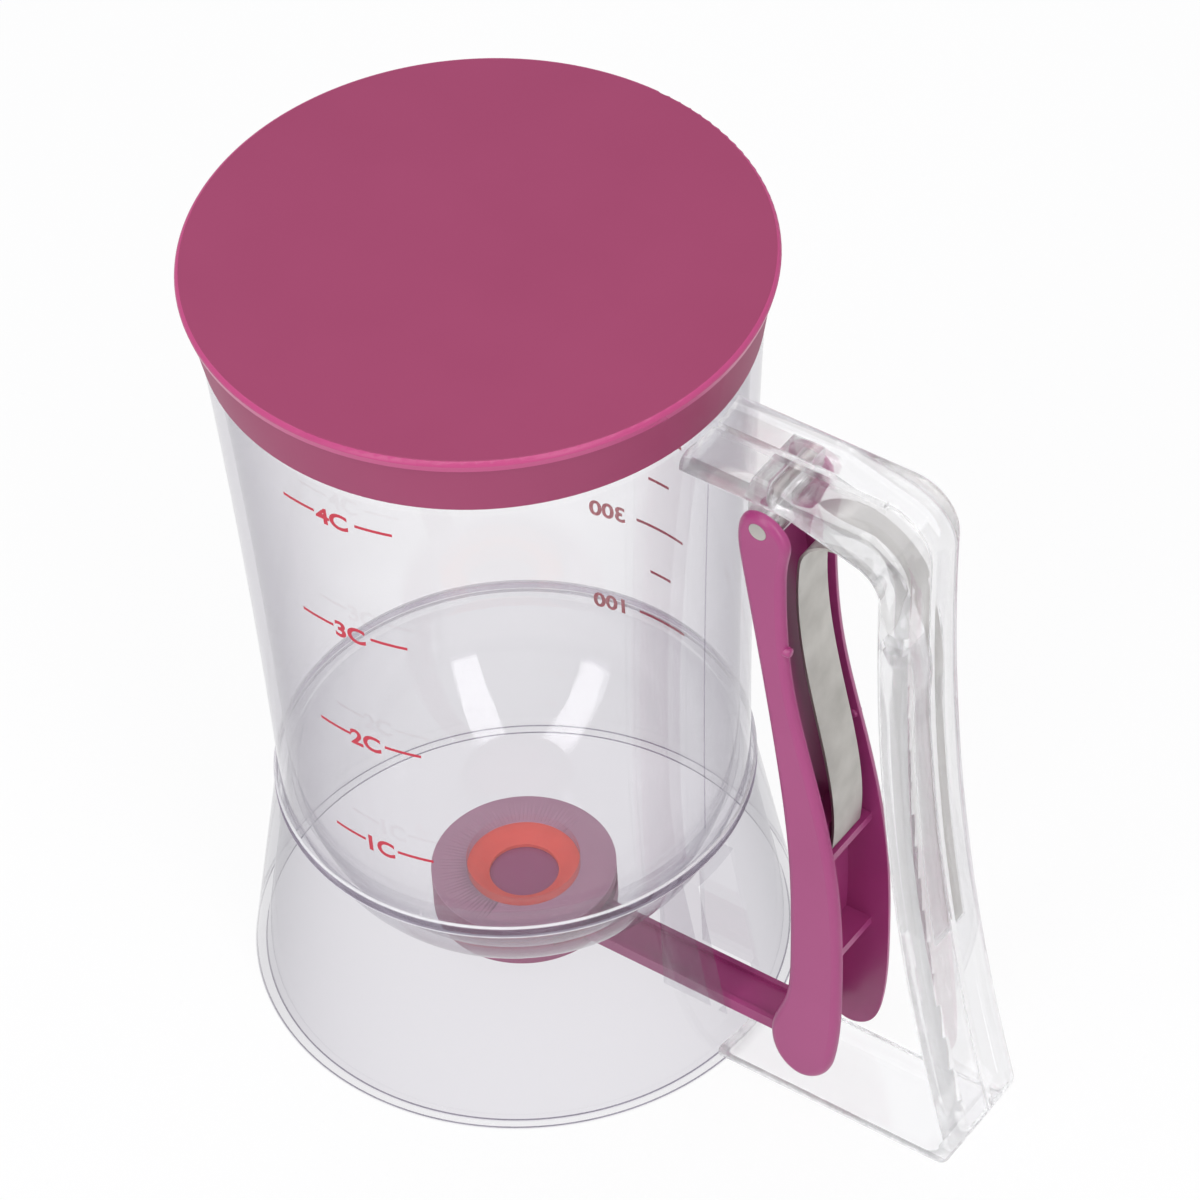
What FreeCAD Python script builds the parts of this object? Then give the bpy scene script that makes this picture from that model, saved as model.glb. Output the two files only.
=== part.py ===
import FreeCAD, Part
import math
import os

# Pancake batter dispenser: a clear jar on a skirted base, with a funnel floor, a sliding
# gate under its outlet, and a strap handle that carries a sprung trigger.
# Millimetres. +Z is up, the jar's axis is Z, and the handle points along +X.
# The origin is the centre of the base's bottom rim, where the axis meets the table.

Vector = FreeCAD.Vector

# Overall sizes: the height of the lid's top, and the radius of the jar's wide shoulder
LID_TOP_Z = 195.1
JAR_SHOULDER_R = 56.4

# Lid
LID_R = JAR_SHOULDER_R + 3.6
LID_DISC_T = 2.5
LID_EDGE_R = 1.0
LID_EDGE_TAPER = 0.4
LID_SKIRT_TOP_R = LID_R - 1.0
LID_SKIRT_BOTTOM_R = JAR_SHOULDER_R + 0.2
LID_SKIRT_T = 1.6
LID_SKIRT_DROP = 12.9
LID_HEM_LEAN = 0.3
LID_SIDE_GAP = 0.4
LID_SHOULDER_GAP = 0.4
LID_UNDER_Z = LID_TOP_Z - LID_DISC_T
LID_HEM_Z = LID_UNDER_Z - LID_SKIRT_DROP

# Waist, where the jar, the funnel floor's flange and the base are stacked
WAIST_Z = 51.1
FLANGE_T = 2.6

# Jar wall, a slightly waisted tube with a step that the lid's skirt stands over
WALL_T = 2.4
JAR_FOOT_R = JAR_SHOULDER_R - 6.4
JAR_FOOT_Z = WAIST_Z + FLANGE_T
JAR_MID_R = JAR_SHOULDER_R - 4.2
JAR_SHOULDER_Z = LID_HEM_Z - LID_SHOULDER_GAP
JAR_MID_Z = JAR_SHOULDER_Z - 67.3
NECK_R = LID_SKIRT_BOTTOM_R - LID_SKIRT_T - LID_SIDE_GAP
NECK_T = 2.0
NECK_BLEND_H = 4.0

# Base skirt
BASE_R = JAR_SHOULDER_R + 2.9
SKIRT_TOP_R = JAR_FOOT_R + 0.9
SLOT_HALF_W = 6.5
SLOT_TOP_Z = 47.0
GUIDE_T = 1.6
GUIDE_INNER_X = SKIRT_TOP_R - 8.9

# Funnel floor
FLANGE_R = SKIRT_TOP_R + 0.3
LIP_STEP = 0.3
FUNNEL_TOP_R = SKIRT_TOP_R - WALL_T
FUNNEL_BULGE_R = 42.0
FUNNEL_FLOOR_Z = 21.0
FUNNEL_FLOOR_R = 20.0
FUNNEL_UNDER_Z = FUNNEL_FLOOR_Z - WALL_T
OUTLET_SEAT_R = 12.3

# Seal ring in the outlet
SEAL_BORE_R = 7.5
SEAL_LIP_H = 0.9
SEAL_RIM_H = 2.9
SEAL_RIM_W = 1.2
SEAL_SIDE_GAP = 0.05
SEAL_BOTTOM_Z = FUNNEL_UNDER_Z - SEAL_RIM_H

# Sliding gate: a round plate on a flat arm that reaches the trigger
GATE_R = 11.5
GATE_T = 2.2
GATE_TOP_GAP = 0.1
GATE_SIDE_GAP = 0.5
GATE_TOP_Z = SEAL_BOTTOM_Z - GATE_TOP_GAP
GATE_BOTTOM_Z = GATE_TOP_Z - GATE_T
ARM_T = 2.0
ARM_HALF_W = 5.0
ARM_DROP = 2.6
ARM_LIP_H = 1.0
ARM_LIP_T = 1.2
ARM_GAP = 0.4
ARM_TOP_FACE_Z = GATE_TOP_Z - ARM_DROP
ARM_BOTTOM_Z = ARM_TOP_FACE_Z - ARM_T
SLOT_BOTTOM_Z = ARM_BOTTOM_Z - ARM_GAP
RISER_X = 13.0
RISER_T = 2.0

# Valve body under the funnel floor
VALVE_R = 20.0
VALVE_BOTTOM_Z = 8.0
VALVE_OUTLET_R = 9.0
VALVE_CHAMFER = 0.6

# Handle, a strap of one width bent into a C. It starts inside the jar and is cut back to it
STRAP_START_X = JAR_FOOT_R - 10.0
HANDLE_HALF_W = 11.0
ARM_TOP_Z = JAR_SHOULDER_Z - 1.9
TOP_ARM_T = 5.1
TOP_ARM_UNDER_Z = ARM_TOP_Z - TOP_ARM_T
HANDLE_REACH = 49.7
SPINE_WAIST_X = JAR_SHOULDER_R + HANDLE_REACH
SPINE_WAIST_Z = ARM_TOP_Z - 44.4
SPINE_BOW_R = 545.0
SPINE_T = 6.2
CORNER_R = 11.0
GUSSET_DROP = 6.6
GUSSET_START_R = 12.0
INNER_CORNER_R = 7.0
FOOT_BOTTOM_Z = 0.4
FOOT_ARM_T = 4.1
FOOT_TOP_Z = FOOT_BOTTOM_Z + FOOT_ARM_T
FOOT_CORNER_Z = 13.0
FOOT_SLANT = 5.875132
FOOT_CORNER_R = 2.0
FOOT_TOE_R = 1.0
FOOT_FILLET_R = 5.0
OUTER_EDGE_R = 3.0
INNER_EDGE_R = 1.2
GROOVE_W = 1.6
GROOVE_DEPTH = 1.2
SLOT_IN_ARM_DEPTH = 3.2
SLOT_IN_ARM_START_X = JAR_SHOULDER_R + 1.5

# Pivot of the trigger: a lug under the top arm and a steel pin
PIVOT_X = JAR_SHOULDER_R + 16.3
PIVOT_Z = TOP_ARM_UNDER_Z - 7.2
PIN_R = 2.0
PIN_SEAT_GAP = 0.02
PIN_RUNNING_GAP = 0.06
LUG_R = 3.6
LUG_ROOT_H = 1.0
LUG_SIDE_GAP = 0.4
GUSSET_START_X = PIVOT_X + 6.3
SLOT_IN_ARM_END_X = PIVOT_X + 23.3

# The trigger's and the leaf spring's points are drawn for a pivot this far above the gate's
# arm, and are stretched along Z to the height that the pivot has
DRAWN_ARM_Z = 13.0
DRAWN_PIVOT_Z = 165.1
STRETCH = (PIVOT_Z - ARM_TOP_FACE_Z) / (DRAWN_PIVOT_Z - DRAWN_ARM_Z)

# Trigger, a channel that is open towards the handle's spine
TRIGGER_HALF_W = HANDLE_HALF_W - 0.4
CHEEK_T = 2.0
CHANNEL_HALF_W = TRIGGER_HALF_W - CHEEK_T
WEB_T = 2.0
WEB_TOP_DROP = 8.1
TRIGGER_EDGE_R = 1.7
TOE_X = PIVOT_X - 1.5
TOE_WEB_T = 2.6
RIB_T = 2.0
RIB_DEPTH = 6.5
UPPER_RIB_DRAWN_Z = 73.6
LOWER_RIB_DRAWN_Z = 41.5
PAD_H = 7.0
PAD_GAP = 0.1
NECK_SIDE_GAP = 0.6
NECK_HALF_W = 3.0
HEAD_T = 2.2
NECK_PLAY = 0.6

# Leaf spring, a hairpin of steel strip
LEAF_T = 0.6
LEAF_HALF_W = 5.15
LEAF_ARCH_R = 9.7
LEAF_ARCH_Z = PIVOT_Z - 12.1
LEAF_FREE_TOP_X = PIVOT_X + 5.6
LEAF_ENTRY_Z = LEAF_ARCH_Z - 14.0
LEAF_FIXED_TIP_DRAWN_Z = 62.5
LEAF_POCKET_GAP = 0.3
ARCH_STEPS = 8
FIXED_STEPS = 5

# How far one solid starts inside another that it is joined to, and a length past everything
BITE = 0.5
FAR = 400.0


def save(name, shape):
    """Write one node's STEP file."""
    shape.exportStep("parts/" + name + ".step")


def side_point(x, z):
    """A point of a side profile, drawn on the handle's centre plane."""
    return Vector(x, 0, z)


def line(a, b):
    """A straight edge between two points of a side profile."""
    return Part.LineSegment(side_point(*a), side_point(*b)).toShape()


def arc(a, middle, b):
    """An arc through three points of a side profile."""
    return Part.Arc(side_point(*a), side_point(*middle), side_point(*b)).toShape()


def turned(edges):
    """Turn a closed half profile about the jar's axis."""
    face = Part.Face(Part.Wire(edges))
    return face.revolve(Vector(0, 0, 0), Vector(0, 0, 1), 360)


def polygon(points):
    """The edges of a closed outline of straight lines."""
    return [line(a, b) for a, b in zip(points, points[1:] + points[:1])]


def across(edges, half_width):
    """Extrude a closed side profile to both sides of the centre plane."""
    face = Part.Face(Part.Wire(edges))
    face.translate(Vector(0, -half_width, 0))
    return face.extrude(Vector(0, 2 * half_width, 0))


def box(x0, x1, half_width, z0, z1):
    """A box that is centred on the handle's plane."""
    corner = Vector(x0, -half_width, z0)
    return Part.makeBox(x1 - x0, 2 * half_width, z1 - z0, corner)


def upright(radius, z0, z1, x=0.0):
    """A cylinder along Z."""
    return Part.makeCylinder(radius, z1 - z0, Vector(x, 0, z0))


def crosswise(radius, half_width, x, z):
    """A cylinder along Y, through both sides of the centre plane."""
    return Part.makeCylinder(radius, 2 * half_width, Vector(x, -half_width, z), Vector(0, 1, 0))


def jar_outside(inset=0.0):
    """The arc of the jar wall's outside, from the waist to the shoulder."""
    foot = (JAR_FOOT_R - inset, JAR_FOOT_Z)
    middle = (JAR_MID_R - inset, JAR_MID_Z)
    shoulder = (JAR_SHOULDER_R - inset, JAR_SHOULDER_Z)
    return foot, middle, shoulder


def lid():
    """The lid: a disc with a rounded rim over a skirt that tapers in."""
    rim = LID_EDGE_R
    lean = (LID_SKIRT_TOP_R - LID_SKIRT_BOTTOM_R) / LID_SKIRT_DROP
    hem_r = LID_SKIRT_BOTTOM_R + lean * LID_HEM_LEAN
    inner_top = LID_SKIRT_TOP_R - LID_SKIRT_T
    inner_hem = LID_SKIRT_BOTTOM_R - LID_SKIRT_T
    corner = rim * math.sqrt(0.5)
    return turned([
        line((0, LID_TOP_Z), (LID_R - rim, LID_TOP_Z)),
        arc((LID_R - rim, LID_TOP_Z),
            (LID_R - rim + corner, LID_TOP_Z - rim + corner),
            (LID_R, LID_TOP_Z - rim)),
        line((LID_R, LID_TOP_Z - rim), (LID_R - LID_EDGE_TAPER, LID_UNDER_Z)),
        line((LID_R - LID_EDGE_TAPER, LID_UNDER_Z), (LID_SKIRT_TOP_R, LID_UNDER_Z)),
        line((LID_SKIRT_TOP_R, LID_UNDER_Z), (hem_r, LID_HEM_Z)),
        line((hem_r, LID_HEM_Z), (inner_hem, LID_HEM_Z)),
        line((inner_hem, LID_HEM_Z), (inner_top, LID_UNDER_Z)),
        line((inner_top, LID_UNDER_Z), (0, LID_UNDER_Z)),
        line((0, LID_UNDER_Z), (0, LID_TOP_Z)),
    ])


def jar_wall():
    """The clear tube of the jar, with the neck that the lid's skirt passes over."""
    foot, middle, shoulder = jar_outside()
    inner_foot, inner_middle, inner_shoulder = jar_outside(WALL_T)
    blend_z = JAR_SHOULDER_Z - NECK_BLEND_H
    inner_top = (inner_shoulder[0], blend_z)
    return turned([
        arc(foot, middle, shoulder),
        line(shoulder, (NECK_R, JAR_SHOULDER_Z)),
        line((NECK_R, JAR_SHOULDER_Z), (NECK_R, LID_UNDER_Z)),
        line((NECK_R, LID_UNDER_Z), (NECK_R - NECK_T, LID_UNDER_Z)),
        line((NECK_R - NECK_T, LID_UNDER_Z), (NECK_R - NECK_T, JAR_SHOULDER_Z)),
        line((NECK_R - NECK_T, JAR_SHOULDER_Z), inner_top),
        arc(inner_top, inner_middle, inner_foot),
        line(inner_foot, foot),
    ])


def funnel_circle():
    """Centre of the circle that the funnel's underside follows."""
    top = (FUNNEL_TOP_R, WAIST_Z)
    floor = (FUNNEL_FLOOR_R, FUNNEL_UNDER_Z)
    half = math.hypot(top[0] - floor[0], top[1] - floor[1]) / 2
    reach = math.sqrt(FUNNEL_BULGE_R ** 2 - half ** 2)
    nx = -(top[1] - floor[1]) / (2 * half)
    nz = (top[0] - floor[0]) / (2 * half)
    return ((top[0] + floor[0]) / 2 + nx * reach, (top[1] + floor[1]) / 2 + nz * reach)


def on_funnel(radius, z):
    """The point at this height on the funnel's circle of this radius."""
    cx, cz = funnel_circle()
    return (cx + math.sqrt(radius ** 2 - (z - cz) ** 2), z)


def funnel_span(radius, z0, z1):
    """An arc of the funnel between two heights."""
    return arc(on_funnel(radius, z0), on_funnel(radius, (z0 + z1) / 2), on_funnel(radius, z1))


def hopper_bowl():
    """The funnel floor: a flange at the waist, a bulged side and a flat floor with the outlet."""
    outer = FUNNEL_BULGE_R
    inner = FUNNEL_BULGE_R - WALL_T
    flange_top = WAIST_Z + FLANGE_T
    outer_top = on_funnel(outer, WAIST_Z)
    outer_floor = on_funnel(outer, FUNNEL_UNDER_Z)
    inner_top = on_funnel(inner, WAIST_Z)
    inner_floor = on_funnel(inner, FUNNEL_FLOOR_Z)
    lip = (inner_top[0] + LIP_STEP, flange_top)
    return turned([
        line((OUTLET_SEAT_R, FUNNEL_UNDER_Z), outer_floor),
        funnel_span(outer, FUNNEL_UNDER_Z, WAIST_Z),
        line(outer_top, (FLANGE_R, WAIST_Z)),
        line((FLANGE_R, WAIST_Z), (FLANGE_R, flange_top)),
        line((FLANGE_R, flange_top), lip),
        line(lip, inner_top),
        funnel_span(inner, WAIST_Z, FUNNEL_FLOOR_Z),
        line(inner_floor, (OUTLET_SEAT_R, FUNNEL_FLOOR_Z)),
        line((OUTLET_SEAT_R, FUNNEL_FLOOR_Z), (OUTLET_SEAT_R, FUNNEL_UNDER_Z)),
    ])


def funnel_outside():
    """Everything inside the funnel's outer face, down to its floor."""
    outer = FUNNEL_BULGE_R
    outer_top = on_funnel(outer, WAIST_Z)
    outer_floor = on_funnel(outer, FUNNEL_UNDER_Z)
    return turned([
        line((0, FUNNEL_UNDER_Z), outer_floor),
        funnel_span(outer, FUNNEL_UNDER_Z, WAIST_Z),
        line(outer_top, (0, WAIST_Z)),
        line((0, WAIST_Z), (0, FUNNEL_UNDER_Z)),
    ])


def skirt_body(inset):
    """The cone inside the base's outer face, or inside its inner face."""
    return Part.makeCone(BASE_R - inset, SKIRT_TOP_R - inset, WAIST_Z)


def base_skirt():
    """The base: an open cone with the gate's slot and two guide walls inside."""
    shell = skirt_body(0).cut(skirt_body(WALL_T))
    slot = box(GUIDE_INNER_X, FAR, SLOT_HALF_W, SLOT_BOTTOM_Z, SLOT_TOP_Z)
    shell = shell.cut(slot)
    guide_bottom = ARM_TOP_FACE_Z
    room = skirt_body(WALL_T / 2).cut(funnel_outside())
    for side in (-1, 1):
        near = side * SLOT_HALF_W
        far = near + side * GUIDE_T
        wall = Part.makeBox(FAR, GUIDE_T, WAIST_Z - guide_bottom,
                            Vector(GUIDE_INNER_X, min(near, far), guide_bottom))
        shell = shell.fuse(wall.common(room))
    return shell.removeSplitter()


def valve_body():
    """The ring under the outlet that holds the gate, with its passage towards the handle."""
    body = upright(VALVE_R, VALVE_BOTTOM_Z, FUNNEL_UNDER_Z)
    body = body.cut(upright(VALVE_OUTLET_R, VALVE_BOTTOM_Z, FUNNEL_UNDER_Z))
    body = body.cut(upright(OUTLET_SEAT_R, SEAL_BOTTOM_Z, FUNNEL_UNDER_Z))
    plate_low = GATE_BOTTOM_Z - GATE_SIDE_GAP
    plate_half = GATE_R + GATE_SIDE_GAP
    body = body.cut(upright(plate_half, plate_low, SEAL_BOTTOM_Z))
    body = body.cut(box(0, FAR, plate_half, plate_low, SEAL_BOTTOM_Z))
    arm_half = ARM_HALF_W + ARM_GAP
    arm_low = ARM_BOTTOM_Z - ARM_GAP
    body = body.cut(box(RISER_X - GATE_SIDE_GAP, FAR, arm_half, arm_low, SEAL_BOTTOM_Z))
    rim = [e for e in body.Edges if is_round_at(e, VALVE_R, VALVE_BOTTOM_Z)]
    return body.makeChamfer(VALVE_CHAMFER, rim)


def is_round_at(edge, radius, z):
    """Whether an edge is part of a circle about the axis, of this radius and height."""
    curve = edge.Curve
    if not isinstance(curve, Part.Circle):
        return False
    on_axis = math.hypot(curve.Center.x, curve.Center.y) < 0.01
    return on_axis and abs(curve.Radius - radius) < 0.01 and abs(curve.Center.z - z) < 0.01


def seal_ring():
    """The soft ring in the outlet: a dished top and a flat lip on the gate."""
    rim = OUTLET_SEAT_R - SEAL_SIDE_GAP
    seat = rim - SEAL_RIM_W
    return turned([
        line((SEAL_BORE_R, SEAL_BOTTOM_Z), (rim, SEAL_BOTTOM_Z)),
        line((rim, SEAL_BOTTOM_Z), (rim, FUNNEL_UNDER_Z)),
        line((rim, FUNNEL_UNDER_Z), (seat, FUNNEL_UNDER_Z)),
        line((seat, FUNNEL_UNDER_Z), (SEAL_BORE_R, SEAL_BOTTOM_Z + SEAL_LIP_H)),
        line((SEAL_BORE_R, SEAL_BOTTOM_Z + SEAL_LIP_H), (SEAL_BORE_R, SEAL_BOTTOM_Z)),
    ])


def spine_x(z, inset=0.0):
    """Where the spine's outer face, or a face parallel to it, lies at this height."""
    radius = SPINE_BOW_R + inset
    return SPINE_WAIST_X + SPINE_BOW_R - math.sqrt(radius ** 2 - (z - SPINE_WAIST_Z) ** 2)


def spine_arc(z0, z1, inset=0.0):
    """An arc of the spine's outer face, or of a face parallel to it."""
    middle = (z0 + z1) / 2
    return arc((spine_x(z0, inset), z0), (spine_x(middle, inset), middle),
               (spine_x(z1, inset), z1))


def foot_toe_x():
    """Where the foot's slanted end meets the table."""
    return spine_x(FOOT_CORNER_Z) - FOOT_SLANT


def handle_outline():
    """The C-shaped side profile of the handle with sharp corners, ending inside the jar."""
    gusset_z = TOP_ARM_UNDER_Z - GUSSET_DROP
    return [
        line((STRAP_START_X, ARM_TOP_Z), (spine_x(ARM_TOP_Z), ARM_TOP_Z)),
        spine_arc(ARM_TOP_Z, FOOT_CORNER_Z),
        line((spine_x(FOOT_CORNER_Z), FOOT_CORNER_Z), (foot_toe_x(), FOOT_BOTTOM_Z)),
        line((foot_toe_x(), FOOT_BOTTOM_Z), (STRAP_START_X, FOOT_BOTTOM_Z)),
        line((STRAP_START_X, FOOT_BOTTOM_Z), (STRAP_START_X, FOOT_TOP_Z)),
        line((STRAP_START_X, FOOT_TOP_Z), (spine_x(FOOT_TOP_Z, SPINE_T), FOOT_TOP_Z)),
        spine_arc(FOOT_TOP_Z, gusset_z, SPINE_T),
        line((spine_x(gusset_z, SPINE_T), gusset_z), (GUSSET_START_X, TOP_ARM_UNDER_Z)),
        line((GUSSET_START_X, TOP_ARM_UNDER_Z), (STRAP_START_X, TOP_ARM_UNDER_Z)),
        line((STRAP_START_X, TOP_ARM_UNDER_Z), (STRAP_START_X, ARM_TOP_Z)),
    ]


def round_corner(strap, x, z, radius):
    """Round the edge that runs across the strap through this point of its side profile."""
    for edge in strap.Edges:
        bounds = edge.BoundBox
        here = math.hypot(bounds.Center.x - x, bounds.Center.z - z) < 0.05
        if here and bounds.YLength > HANDLE_HALF_W:
            return strap.makeFillet(radius, [edge])
    raise ValueError("the strap has no edge at this corner")


def is_side_edge(edge):
    """Whether an edge runs along one of the strap's two flat sides."""
    bounds = edge.BoundBox
    return abs(abs(bounds.Center.y) - HANDLE_HALF_W) < 0.01 and bounds.YLength < 0.01


def is_outer_edge(edge):
    """Whether a side edge follows the strap's outer face, which the palm lies on."""
    bounds = edge.BoundBox
    on_top = bounds.ZMax > ARM_TOP_Z - 0.01 and bounds.ZMin > ARM_TOP_Z - CORNER_R - 1
    on_back = bounds.XMin > SPINE_WAIST_X - 0.5 and bounds.ZMax > FOOT_CORNER_Z - 1
    return on_top or on_back


def is_inner_edge(edge):
    """Whether a side edge follows the strap's inner face, which the fingers pass."""
    bounds = edge.BoundBox
    back = bounds.XMin > SPINE_WAIST_X - SPINE_T - 1 and bounds.XMax < foot_toe_x() + 2
    top = TOP_ARM_UNDER_Z - 2 * GUSSET_DROP < bounds.ZMin and bounds.ZMax < TOP_ARM_UNDER_Z + 0.5
    foot = bounds.ZMax < FOOT_CORNER_Z - 1 and bounds.XLength > 3
    return back or top or foot


def rounded_strap():
    """The strap with its corners and its long edges rounded."""
    strap = across(handle_outline(), HANDLE_HALF_W)
    gusset_z = TOP_ARM_UNDER_Z - GUSSET_DROP
    corners = [
        (spine_x(ARM_TOP_Z), ARM_TOP_Z, CORNER_R),
        (spine_x(gusset_z, SPINE_T), gusset_z, INNER_CORNER_R),
        (GUSSET_START_X, TOP_ARM_UNDER_Z, GUSSET_START_R),
        (spine_x(FOOT_TOP_Z, SPINE_T), FOOT_TOP_Z, FOOT_FILLET_R),
        (spine_x(FOOT_CORNER_Z), FOOT_CORNER_Z, FOOT_CORNER_R),
        (foot_toe_x(), FOOT_BOTTOM_Z, FOOT_TOE_R),
    ]
    for x, z, radius in corners:
        strap = round_corner(strap, x, z, radius)
    outer = [e for e in strap.Edges if is_side_edge(e) and is_outer_edge(e)]
    strap = strap.makeFillet(OUTER_EDGE_R, outer)
    inner = [e for e in strap.Edges if is_side_edge(e) and is_inner_edge(e)]
    return strap.makeFillet(INNER_EDGE_R, inner)


def groove_profile(depth):
    """The outline between the handle's back and a line at this depth, down to the foot."""
    turn_z = ARM_TOP_Z - CORNER_R
    turn_x = spine_x(turn_z)
    outside = (turn_x + CORNER_R, ARM_TOP_Z + CORNER_R)
    centre_x = turn_x - CORNER_R
    small = (CORNER_R - depth) * math.sqrt(0.5)
    return [
        line((STRAP_START_X, ARM_TOP_Z - depth), (centre_x, ARM_TOP_Z - depth)),
        arc((centre_x, ARM_TOP_Z - depth), (centre_x + small, turn_z + small),
            (turn_x - depth, turn_z)),
        line((turn_x - depth, turn_z), (spine_x(turn_z, depth), turn_z)),
        spine_arc(turn_z, FOOT_CORNER_Z, depth),
        line((spine_x(FOOT_CORNER_Z, depth), FOOT_CORNER_Z), (outside[0] + 20, FOOT_CORNER_Z)),
        line((outside[0] + 20, FOOT_CORNER_Z), (outside[0] + 20, outside[1])),
        line((outside[0] + 20, outside[1]), (STRAP_START_X, outside[1])),
        line((STRAP_START_X, outside[1]), (STRAP_START_X, ARM_TOP_Z - depth)),
    ]


def handle():
    """The clear handle: strap, lug for the pivot pin, grooves and the leaf spring's pocket."""
    strap = rounded_strap()
    lug_half = CHANNEL_HALF_W - LUG_SIDE_GAP
    lug_top = TOP_ARM_UNDER_Z + LUG_ROOT_H
    lug = box(PIVOT_X - LUG_R, PIVOT_X + LUG_R, lug_half, PIVOT_Z, lug_top)
    lug = lug.fuse(crosswise(LUG_R, lug_half, PIVOT_X, PIVOT_Z))
    strap = strap.fuse(lug)
    strap = strap.cut(crosswise(PIN_R + PIN_SEAT_GAP, HANDLE_HALF_W, PIVOT_X, PIVOT_Z))
    strap = strap.cut(across(groove_profile(GROOVE_DEPTH), GROOVE_W / 2))
    slot_low = ARM_TOP_Z - SLOT_IN_ARM_DEPTH
    slot = box(SLOT_IN_ARM_START_X, SLOT_IN_ARM_END_X, GROOVE_W / 2, slot_low, ARM_TOP_Z)
    strap = strap.cut(slot)
    strap = strap.cut(across(pocket_profile(), LEAF_HALF_W + LEAF_POCKET_GAP))
    foot, middle, shoulder = jar_outside()
    jar_core = turned([
        arc(foot, middle, shoulder),
        line(shoulder, (0, JAR_SHOULDER_Z)),
        line((0, JAR_SHOULDER_Z), (0, JAR_FOOT_Z)),
        line((0, JAR_FOOT_Z), foot),
    ])
    strap = strap.cut(jar_core).cut(skirt_body(0))
    return strap.removeSplitter()


def drawn(points):
    """Points of the trigger or the leaf, given from the pivot's X, at their true heights."""
    return [(PIVOT_X + x, drawn_z(z)) for x, z in points]


def drawn_z(z):
    """The true height of a height that was drawn for the usual pivot."""
    return ARM_TOP_FACE_Z + (z - DRAWN_ARM_Z) * STRETCH


def free_leg():
    """The tip and the knee of the leaf's free leg, on its middle line."""
    return drawn([(11.5, 76.6), (7.9, 118.0)])


def strip_outline(points, half):
    """A closed outline around a chain of points, at this distance to each side."""
    left = []
    right = []
    for i, point in enumerate(points):
        before = points[max(i - 1, 0)]
        after = points[min(i + 1, len(points) - 1)]
        dx = after[0] - before[0]
        dz = after[1] - before[1]
        size = math.hypot(dx, dz)
        left.append(side_point(point[0] - half * dz / size, point[1] + half * dx / size))
        right.append(side_point(point[0] + half * dz / size, point[1] - half * dx / size))
    edges = [smooth(left), smooth(right)]
    edges.append(Part.LineSegment(left[0], right[0]).toShape())
    edges.append(Part.LineSegment(left[-1], right[-1]).toShape())
    return Part.__sortEdges__(edges)


def smooth(points):
    """A smooth curve through points."""
    curve = Part.BSplineCurve()
    curve.interpolate(points)
    return curve.toShape()


def arch_points(steps):
    """Points along the half circle of the hairpin."""
    centre = (LEAF_FREE_TOP_X + LEAF_ARCH_R, LEAF_ARCH_Z)
    chain = []
    for step in range(steps + 1):
        angle = math.pi * (1 - step / steps)
        chain.append((centre[0] + LEAF_ARCH_R * math.cos(angle),
                      centre[1] + LEAF_ARCH_R * math.sin(angle)))
    return chain


def fixed_leg_points(steps):
    """Points down the middle of the spine, from where the leaf enters it to its tip."""
    drop = (LEAF_ENTRY_Z - drawn_z(LEAF_FIXED_TIP_DRAWN_Z)) / steps
    heights = [LEAF_ENTRY_Z - drop * step for step in range(steps + 1)]
    return [(spine_x(z, SPINE_T / 2), z) for z in heights]


def leaf_chain():
    """The middle line of the whole leaf spring."""
    return free_leg() + arch_points(ARCH_STEPS) + fixed_leg_points(FIXED_STEPS)


def leaf_spring():
    """The hairpin strip: free leg behind the trigger's web, arch, and leg in the spine."""
    return across(strip_outline(leaf_chain(), LEAF_T / 2), LEAF_HALF_W)


def pocket_profile():
    """The pocket for the leaf spring's fixed leg, which opens at the inner corner."""
    chain = arch_points(ARCH_STEPS)[-2:] + fixed_leg_points(FIXED_STEPS)[:-1]
    tip_z = drawn_z(LEAF_FIXED_TIP_DRAWN_Z)
    chain.append((spine_x(tip_z - 1, SPINE_T / 2), tip_z - LEAF_POCKET_GAP))
    return strip_outline(chain, LEAF_T / 2 + LEAF_POCKET_GAP)


def pivot_pin():
    """The steel pin through the trigger's cheeks and the handle's lug."""
    return crosswise(PIN_R, TRIGGER_HALF_W, PIVOT_X, PIVOT_Z)


def trigger_front():
    """Points down the trigger's front, towards the jar, with the toe that meets the gate."""
    top = [(PIVOT_X - 5.2, PIVOT_Z - WEB_TOP_DROP)]
    shin = [(-2.9, 139.7), (1.7, 102.4), (3.9, 74.1), (3.5, 44.0), (1.3, 28.5)]
    toe = [(TOE_X - PIVOT_X, 21.0), (TOE_X - PIVOT_X, 14.0)]
    return top + drawn(shin + toe)


def trigger_back():
    """Points up the trigger's open edge, towards the spine."""
    return drawn([(13.7, 18.0), (15.7, 38.0), (15.6, 68.8), (11.5, 96.1), (6.3, 122.0),
                  (5.1, 150.0)])


def trigger_outline():
    """The closed side profile of the trigger's cheeks, one smooth loop."""
    foot = drawn([(0.9, 9.6), (5.3, 7.6), (10.3, 10.0)])
    ears = [(5.9, -6.6), (6.5, -1.6), (3.7, 2.5), (0, 3.7), (-3.7, 2.3), (-5.3, -2.1)]
    ears = [(PIVOT_X + x, PIVOT_Z + z) for x, z in ears]
    loop = [side_point(*p) for p in trigger_front() + foot + trigger_back() + ears]
    curve = Part.BSplineCurve()
    curve.interpolate(Points=loop, PeriodicFlag=True)
    return [curve.toShape()]


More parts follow.
